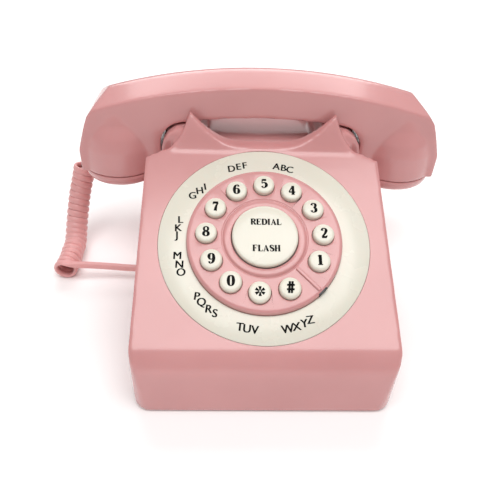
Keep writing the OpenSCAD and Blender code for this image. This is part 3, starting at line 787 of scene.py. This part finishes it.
# Each group of the ring: its letters, their angles, their distances from the centre, and how far they lean.
RING_GROUPS = [
    ("ABC", [80.4, 75.4, 70.8], [47.4] * 3, -9),
    ("DEF", [112, 107, 102.6], [48.2] * 3, 9),
    ("GHI", [146.2, 140.2, 135.4], [47.8, 46.6, 46.2], 10),
    ("JKL", [177.4, 172.2, 166], [47.2] * 3, 3),
    ("MNO", [-168, -161.8, -156.4], [47.4, 47.4, 48], 0),
    ("PQRS", [-137.6, -133, -126.8, -122.2], [47.8, 48.2, 48.6, 48.6], -7),
    ("TUV", [-105.4, -101.2, -96.6], [49.8] * 3, -6),
    ("WXYZ", [-77.6, -72.2, -67.2, -63], [50, 50, 49.8, 49.4], 9),
]
LETTER_SIZE, LETTER_BOLD = 6.05, 0.2


def ring_letters():
    """Plain capitals printed round the ring, each group nearly upright, each laid down three times to be bold."""
    made = []
    for letters, angles, radii, lean in RING_GROUPS:
        for letter, angle, r in zip(letters, angles, radii):
            let_go()
            bpy.ops.object.text_add()
            text = bpy.context.object
            text.data.body = letter
            text.data.size = LETTER_SIZE * MM
            text.data.align_x = "CENTER"
            text.data.align_y = "CENTER"
            text.data.resolution_u = 4
            bpy.ops.object.convert(target="MESH")
            plain = bpy.context.object
            a = math.radians(angle)
            for step in (-1, 0, 1):
                thick = plain if step == 0 else plain.copy()
                if step:
                    thick.data = plain.data.copy()
                    bpy.context.scene.collection.objects.link(thick)
                made.append(thick)
            for step, thick in zip((-1, 0, 1), made[-3:]):
                spot = Vector((r * math.cos(a) + LETTER_BOLD * step, r * math.sin(a), RING_TOP + 0.05 + 0.015 * step))
                thick.data.transform(Matrix.Translation(spot * MM) @ Matrix.Rotation(math.radians(lean), 4, "Z"))
    letters = join("ring_letters", made)
    letters.data.materials.clear()
    letters.data.materials.append(ink)
    on_dial(letters)
    return finish(letters, "ink", "base")


# ---------------------------------------------------------------- dial
def letter_ring():
    ring = turned("letter_ring", [
        (RING_INNER, -1.3), (RING_OUTER, -1.3), (RING_OUTER, 0), (RING_OUTER - 0.1, 0.22),
        (RING_OUTER - 0.4, RING_TOP), (RING_INNER + 0.2, RING_TOP), (RING_INNER, 0.2)
    ], 160)
    return finish(on_dial(ring), "cream", "base", "dial_ring")


def around(angle, r):
    a = math.radians(angle)
    return (r * math.cos(a), r * math.sin(a))


def dial_disc():
    """The raised pink disc with its collar, twelve key holes and the finger stop."""
    disc = turned("dial_plate", [
        (39.4, -1.3), (41.9, -1.3), (41.9, 2.4), (41.7, 3.1), (41.2, 3.7), (40.4, 4), (39.4, 4.05), (23.5, 4.05),
        (23.1, 3.75), (22.7, 3.7), (22.4, 3.95), (22.1, 4.45), (21.6, 4.75), (18.7, 4.75), (18.2, 4.5), (18, 4),
        (18, 1.7), (40.4, 1.7),
        (40.4, -0.3), (39.4, -0.3)
    ], 144)
    holes = []
    for i in range(12):
        x, y = around(KEY_FIRST + i * KEY_STEP, KEY_CIRCLE)
        holes.append(drum("key_hole", (x, y), 5.95, -3, 8, 48))
    cut(disc, *holes)
    pick(disc, "EDGE", lambda e: len(e.link_faces) == 2 and e.calc_face_angle() > 1.0
         and middle(e).z > 4 * MM and 24.5 * MM < middle(e).xy.length < 40 * MM)
    bpy.ops.mesh.bevel(offset=0.35 * MM, segments=3)
    let_go()
    rib = slab("finger_stop", (23.8, -1.1, 3.4), (40.5, 1.1, 5), edge=0.7, steps=4)
    rib.data.transform(Matrix.Rotation(math.radians(STOP_ANGLE), 4, "Z"))
    plate = join("dial_plate", [disc, rib])
    return finish(on_dial(plate), "pink", "base", "dial_disc")


def stop_slot_shade_block():
    """A dark block that paints the shade inside the small opening in the disc's rim at the end of the finger stop:
    painted shade, not a dark part.
    """
    slot = slab("stop_slot_shade_block", (40.9, -2.9, 0.9), (42.3, 2.9, 3.6), edge=0.15, steps=2)
    slot.data.transform(Matrix.Rotation(math.radians(-45.2), 4, "Z"))
    # the dark finish here is painted shade for the opening, not the colour of a real insert
    return finish(on_dial(slot), "dark", "base")


def round_keys():
    pattern = turned("key_pattern", [
        (0, -1.2), (2.5, -1.2), (2.5, 0.2), (6.6, 0.2), (6.6, 1.2), (5.7, 1.2), (5.7, 5.6), (5.63, 6.05), (5.4, 6.45),
        (5, 6.75), (4.3, 6.9), (2.5, 6.95), (0, 6.97)
    ], 56)
    pattern.data.materials.append(cream_gloss)
    for i, name in enumerate(KEY_NAMES):
        cap = pattern.copy()
        cap.data = pattern.data.copy()
        bpy.context.scene.collection.objects.link(cap)
        mark = {"star": "*", "hash": "#"}.get(name, name)
        high, weight = {"star": (8.4, 1.35), "hash": (6.9, 1.7)}.get(name, (5.7, 1.42))
        digit = serif_word("mark", mark, high, (0, 0.1), KEY_PRINT, weight)
        key = join("key_cap_" + name, [cap, digit])
        x, y = around(KEY_FIRST + i * KEY_STEP, KEY_CIRCLE)
        key.data.transform(DIAL_PLANE @ Matrix.Translation(Vector((x, y, 0)) * MM))
        finish(key, "cream", "key_" + name, "key_" + name)
    bpy.data.objects.remove(pattern)


def rocker():
    cap = turned("rocker_cap", [
        (0, 3.8), (17.1, 3.8), (17.6, 4.3), (17.6, 6.1), (17.5, 6.5), (17.15, 6.85), (16.5, 7.05), (12, 7.14), (0, 7.2)
    ], 120)
    pivot = slab("pivot_block", (-8, -3, -1.5), (8, 3, 4.2), edge=0.4)
    cap.data.materials.append(cream_gloss)
    pivot.data.materials.append(cream_gloss)
    words = [serif_word("word", "REDIAL", 3.5, (0.6, 7.7), ROCKER_PRINT, 1.5, 1.13),
             serif_word("word", "FLASH", 3.6, (0.6, -7.6), ROCKER_PRINT, 1.5, 1.12)]
    key = join("rocker_cap", [cap, pivot] + words)
    return finish(on_dial(key), "cream", "rocker", "rocker_key")


letter_ring()
ring_letters()
dial_disc()
stop_slot_shade_block()
round_keys()
rocker()


# ---------------------------------------------------------------- cradle plungers
def plungers():
    """The two round studs that the handset presses down."""
    shape = [(0, 84), (5.5, 84), (5.5, 86), (3.5, 86), (3.5, 102.2), (3.3, 102.9), (2.6, 103.35), (0, 103.4)]
    for side, node in ((-1, "plunger_left"), (1, "plunger_right")):
        stud = turned(node + "_stud", shape, 40, (side * 38, HANDSET_Y))
        finish(stud, "pink", "hook", node)


plungers()


# ---------------------------------------------------------------- handset
def handset_view():
    """Half of the front view: hollow underside, corner into the cup, and the sloping end."""
    half = []
    for i in range(10):
        x = 46.5 * i / 9
        half.append((x, ARCH_Z + math.sqrt(UNDER_R ** 2 - x ** 2)))
    for i in range(1, 9):
        a = math.radians(81.6 * (8 - i) / 8)
        half.append((46.5 + 15 * math.cos(a), half[9][1] - 15 + 15 * math.sin(a)))
    half += [(61.5, CUP_FOOT), (114.5, CUP_FOOT), (114, 75), (112, 83), (109.2, 92), (106.8, 99), (104.3, 105),
             (99.5, 111), (88, 122), (75, 134)]
    return half


def handset_shell():
    half = handset_view()
    solid = upright("handset", half + [(-x, z) for x, z in reversed(half[1:])], HANDSET_Y - 28, HANDSET_Y + 28)
    reach = CUP_R + 2
    ridge = ARCH_R - RIDGE_FALL
    eaves = ARCH_R - ROOF_DROP * (reach - RIDGE_HALF) / (HANDLE_HALF - RIDGE_HALF)
    roof = swept("roof", [(ARCH_R - 80, reach), (ARCH_R - 80, -reach), (eaves, -reach), (ridge, -RIDGE_HALF),
                          (ridge, RIDGE_HALF), (eaves, reach)], math.radians(25), 48)
    combine(solid, roof, "INTERSECT")
    plan = slab("handle_plan", (-112, HANDSET_Y - HANDLE_HALF, 60), (112, HANDSET_Y + HANDLE_HALF, 140))
    bell = [(0, 61), (CUP_R, 61), (CUP_R, 76), (CUP_R - 0.6, 84), (CUP_R - 2.6, 92), (CUP_R - 6, 100),
            (HANDLE_HALF, 107), (HANDLE_HALF, 141), (0, 141)]
    for side in (-1, 1):
        combine(plan, turned("cup", bell, 120, (side * CUP_X, HANDSET_Y)), "UNION")
    combine(solid, plan, "INTERSECT")
    shell = melt("handset_moulding", [solid], HANDSET_GRAIN, MELT_ROUNDS)
    hollow = swept("handle_hollow", [
        (UNDER_R + 2.6, 15.9), (UNDER_R + 2.6, -15.9), (333.2, -15.9), (340.4, -6), (340.4, 6), (333.2, 15.9)
    ], math.radians(13.9), 24)
    cut(shell, hollow)
    for side in (-1, 1):
        cut(shell, turned("cup_hollow", [(0, 66), (22.8, 66), (22.8, 76), (19.6, 84), (15, 94), (8, 104), (0, 104)],
                          72, (side * CUP_X, HANDSET_Y)))
    slot = slab("jack_slot", (18, -5.7, -4.9), (30, 5.7, 4.9))
    slot.data.transform(Matrix.Translation(socket_point(0) * MM) @ Matrix.Rotation(SOCKET_TURN, 4, "Z"))
    cut(shell, slot)
    return finish(shell, "pink", "handset", "handset_shell")


def cup_cap(name, side, rings, node):
    """A screwed-on cap with its sound holes."""
    at = (side * CUP_X, HANDSET_Y)
    cap = turned(name, [
        (0, 60), (19.3, 60), (20.3, 60.25), (23.4, 62.2), (24.5, 63.3), (25.2, 65), (25.6, 67), (25.6, 67.9),
        (25.3, 68.4),
        (24.9, 68.5), (22.6, 68.5), (22.6, 72), (20.6, 72), (20.6, 63), (0, 63)
    ], 120, at)
    for count, r in rings:
        for i in range(count):
            x, y = around(360 * i / count, r)
            cut(cap, drum("sound_hole", (at[0] + x, at[1] + y), 1.1, 58, 65, 20))
    return finish(cap, "pink", "handset", node)


handset_shell()
cup_cap("ear_cup_cap", 1, [(1, 0), (6, 5), (12, 10)], "ear_cap")
cup_cap("mouth_cup_cap", -1, [(1, 0), (6, 5)], "mouth_cap")

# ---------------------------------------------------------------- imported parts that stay
NODE_FINISH = {
    "base_plate": "pink", "hook_bar": "cream", "microphone_holder": "silicone", "key_membrane": "silicone",
    "ribbon_cable": "silicone", "keypad_board": "board", "main_board": "board", "board_parts": "dark",
    "ringer": "dark", "line_jack": "dark", "handset_port": "dark", "handset_jack": "dark", "hook_switch": "dark",
    "receiver_capsule": "dark", "ballast_plate": "iron", "handset_weight": "iron", "inner_wires": "sleeve",
    "handset_wires": "sleeve",
}
for node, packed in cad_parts.items():
    material = FINISHES[NODE_FINISH.get(node, "steel")][0]
    for holder in packed.material_slots:
        holder.material = material


# ---------------------------------------------------------------- table and light
def table_top():
    let_go()
    bpy.ops.mesh.primitive_plane_add(size=9, location=(0, 2, 0))
    table = settle(bpy.context.object)
    table.name = "table_top"
    table.data.materials.append(table_paper())


def soft_light(name, place, target, size, power):
    lamp = bpy.data.lights.new(name, "AREA")
    lamp.shape = "RECTANGLE"
    lamp.size, lamp.size_y = size
    lamp.energy = power
    obj = bpy.data.objects.new(name, lamp)
    bpy.context.scene.collection.objects.link(obj)
    obj.location = place
    obj.rotation_euler = (Vector(target) - Vector(place)).to_track_quat("-Z", "Y").to_euler()


def studio():
    bpy.context.scene.view_settings.view_transform = "Standard"
    world = bpy.data.worlds.new("studio")
    bpy.context.scene.world = world
    world.use_nodes = True
    world.node_tree.nodes["Background"].inputs["Color"].default_value = (1, 0.94, 0.93, 1)
    world.node_tree.nodes["Background"].inputs["Strength"].default_value = 0.4
    soft_light("top_softbox", (0.1, -0.4, 1.6), (0, 0.05, 0.03), (1.6, 1.0), 19.5)
    soft_light("back_softbox", (0, 1.3, 1.2), (0, 0.05, 0.1), (1.8, 0.9), 16)


table_top()
studio()
